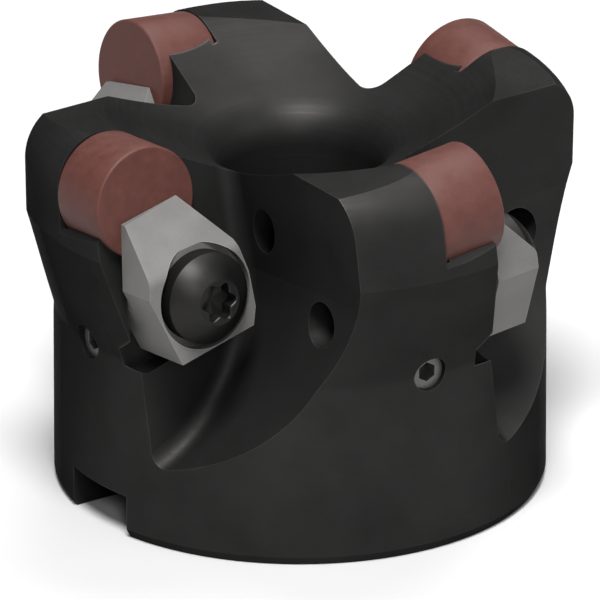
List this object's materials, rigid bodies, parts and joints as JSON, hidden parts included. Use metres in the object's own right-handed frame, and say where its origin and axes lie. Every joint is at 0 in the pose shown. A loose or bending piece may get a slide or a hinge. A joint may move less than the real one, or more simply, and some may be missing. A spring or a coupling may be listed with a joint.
{
  "type": "face mill",
  "caption": "Shell-type face mill: round ceramic inserts in pockets held by screwed top clamps, chip gullets, coolant holes, arbor bore and driving keyway.",
  "frame": {"origin": "centre of the hub face, on the cutter's axis", "axes": "+Z along the cutter's axis from the hub face to the cutting end; +X along the driving keyway and out through tooth 1"},
  "size_m": [0.062, 0.062, 0.0461],
  "materials": {
    "black_oxide_steel": "black oxide, satin",
    "ceramic": "ground ceramic, matt",
    "clamp_steel": "bead-blasted grey steel",
    "screw_steel": "dark satin steel",
    "spring_steel": "bright spring steel"
  },
  "bodies": {
    "cutter_body": {"cutter_body": "black_oxide_steel", "balance_screw_1": "screw_steel", "balance_screw_2": "screw_steel", "balance_screw_3": "screw_steel", "balance_screw_4": "screw_steel"},
    "insert_1": {"insert_1": "ceramic"},
    "clamp_1": {"clamp_1": "clamp_steel", "retaining_ring_1": "spring_steel"},
    "clamp_screw_1": {"clamp_screw_1": "screw_steel"},
    "insert_2": {"insert_2": "ceramic"},
    "clamp_2": {"clamp_2": "clamp_steel", "retaining_ring_2": "spring_steel"},
    "clamp_screw_2": {"clamp_screw_2": "screw_steel"},
    "insert_3": {"insert_3": "ceramic"},
    "clamp_3": {"clamp_3": "clamp_steel", "retaining_ring_3": "spring_steel"},
    "clamp_screw_3": {"clamp_screw_3": "screw_steel"},
    "insert_4": {"insert_4": "ceramic"},
    "clamp_4": {"clamp_4": "clamp_steel", "retaining_ring_4": "spring_steel"},
    "clamp_screw_4": {"clamp_screw_4": "screw_steel"}
  },
  "joints": [
    {"name": "insert_1_index", "type": "hinge", "parent": "cutter_body", "child": "insert_1", "pos_m": [0.0246, 0.00595, 0.0398], "axis": [0, 0.9945, 0.1045], "continuous": true},
    {"name": "clamp_1_lift", "type": "slide", "parent": "cutter_body", "child": "clamp_1", "axis": [0, 0.9945, 0.1045], "range_m": [0, 0.003]},
    {"name": "clamp_screw_1_turn", "type": "hinge", "parent": "clamp_1", "child": "clamp_screw_1", "pos_m": [0.0211, 0.00704, 0.02946], "axis": [0, 0.9945, 0.1045], "range_deg": [0, 1080]},
    {"name": "insert_2_index", "type": "hinge", "parent": "cutter_body", "child": "insert_2", "pos_m": [-0.00595, 0.0246, 0.0398], "axis": [-0.9945, 0, 0.1045], "continuous": true},
    {"name": "clamp_2_lift", "type": "slide", "parent": "cutter_body", "child": "clamp_2", "axis": [-0.9945, 0, 0.1045], "range_m": [0, 0.003]},
    {"name": "clamp_screw_2_turn", "type": "hinge", "parent": "clamp_2", "child": "clamp_screw_2", "pos_m": [-0.00704, 0.0211, 0.02946], "axis": [-0.9945, 0, 0.1045], "range_deg": [0, 1080]},
    {"name": "insert_3_index", "type": "hinge", "parent": "cutter_body", "child": "insert_3", "pos_m": [-0.0246, -0.00595, 0.0398], "axis": [0, -0.9945, 0.1045], "continuous": true},
    {"name": "clamp_3_lift", "type": "slide", "parent": "cutter_body", "child": "clamp_3", "axis": [0, -0.9945, 0.1045], "range_m": [0, 0.003]},
    {"name": "clamp_screw_3_turn", "type": "hinge", "parent": "clamp_3", "child": "clamp_screw_3", "pos_m": [-0.0211, -0.00704, 0.02946], "axis": [0, -0.9945, 0.1045], "range_deg": [0, 1080]},
    {"name": "insert_4_index", "type": "hinge", "parent": "cutter_body", "child": "insert_4", "pos_m": [0.00595, -0.0246, 0.0398], "axis": [0.9945, 0, 0.1045], "continuous": true},
    {"name": "clamp_4_lift", "type": "slide", "parent": "cutter_body", "child": "clamp_4", "axis": [0.9945, 0, 0.1045], "range_m": [0, 0.003]},
    {"name": "clamp_screw_4_turn", "type": "hinge", "parent": "clamp_4", "child": "clamp_screw_4", "pos_m": [0.00704, -0.0211, 0.02946], "axis": [0.9945, 0, 0.1045], "range_deg": [0, 1080]}
  ],
  "couplings": [
    {"joint": "clamp_screw_1_turn", "follows": "clamp_1_lift", "rad_per_m": 6283.2},
    {"joint": "clamp_screw_2_turn", "follows": "clamp_2_lift", "rad_per_m": 6283.2},
    {"joint": "clamp_screw_3_turn", "follows": "clamp_3_lift", "rad_per_m": 6283.2},
    {"joint": "clamp_screw_4_turn", "follows": "clamp_4_lift", "rad_per_m": 6283.2}
  ]
}
